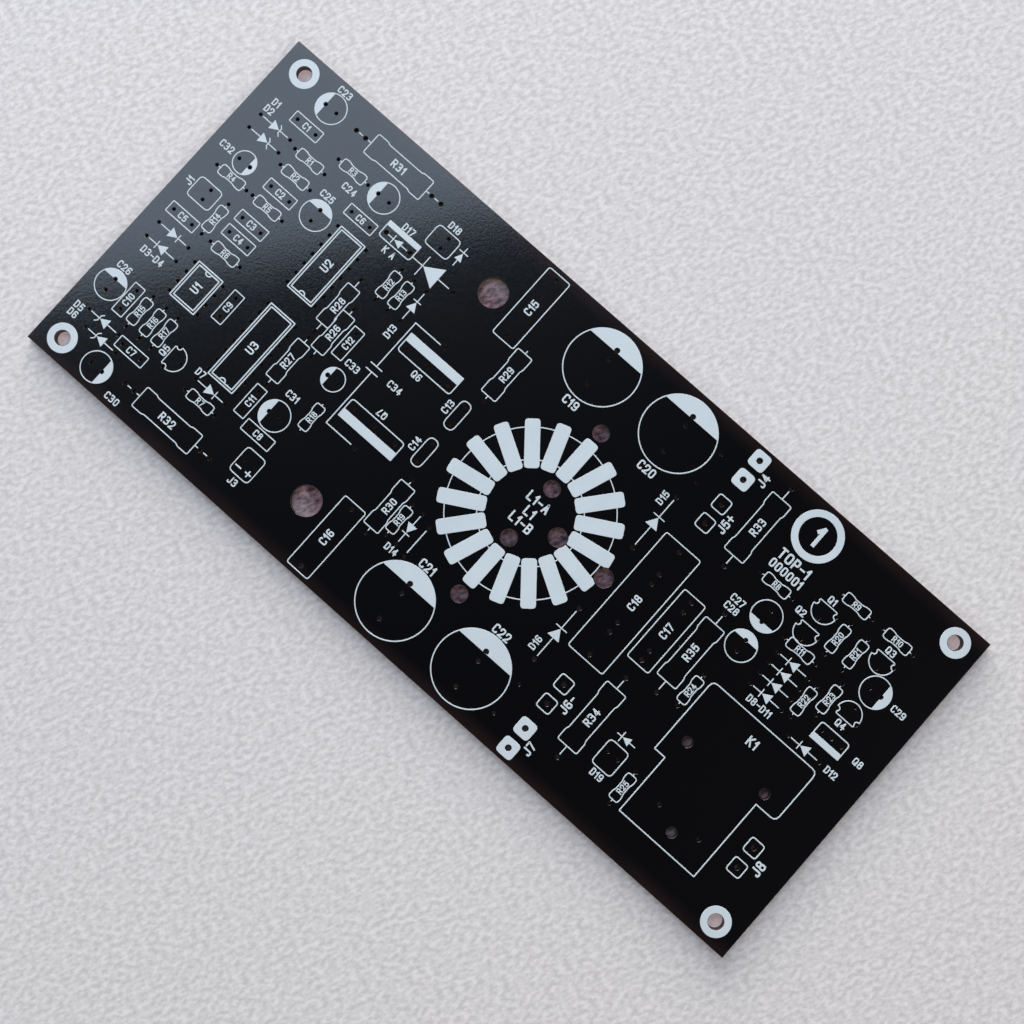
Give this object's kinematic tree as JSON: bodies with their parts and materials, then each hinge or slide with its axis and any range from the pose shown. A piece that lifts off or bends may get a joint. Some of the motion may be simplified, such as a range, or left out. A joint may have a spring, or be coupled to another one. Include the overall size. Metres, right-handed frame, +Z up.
{
  "type": "amplifier circuit board",
  "caption": "Bare rectangular audio amplifier circuit board: drilled black laminate with a white printed legend, corner screw holes and screwdriver access holes.",
  "frame": {"origin": "middle of the underside of the laminate", "axes": "+X along the length towards the relay end, +Y along the width, +Z up out of the printed side"},
  "size_m": [0.185, 0.0814, 0.0016],
  "materials": {
    "solder_mask": "gloss",
    "legend_ink": "satin"
  },
  "bodies": {
    "root": {"board": "solder_mask", "legend": "legend_ink"}
  },
  "joints": []
}
